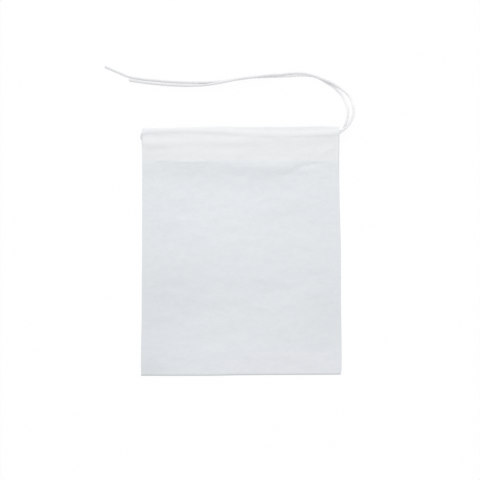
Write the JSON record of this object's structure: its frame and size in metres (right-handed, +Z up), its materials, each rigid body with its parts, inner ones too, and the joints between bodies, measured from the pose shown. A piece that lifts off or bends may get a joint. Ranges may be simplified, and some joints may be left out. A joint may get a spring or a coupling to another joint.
{
  "type": "drawstring filter bag",
  "caption": "Flat white filter paper bag with a cotton drawstring through its hemmed mouth, for steeping tea, herbs or spices.",
  "frame": {"origin": "on the surface that the bag lies on, under the middle of the paper bag", "axes": "+X to the right across the bag, +Y from the bottom fold to the mouth, +Z up out of the front panel"},
  "size_m": [0.1002, 0.1247, 0.0038],
  "materials": {
    "filter_paper": "soft white fibrous filter paper, unprinted and dull",
    "cotton_string": "twisted bleached cotton string, undyed"
  },
  "bodies": {
    "root": {"filter_bag": "filter_paper", "drawstring": "cotton_string"}
  },
  "joints": []
}
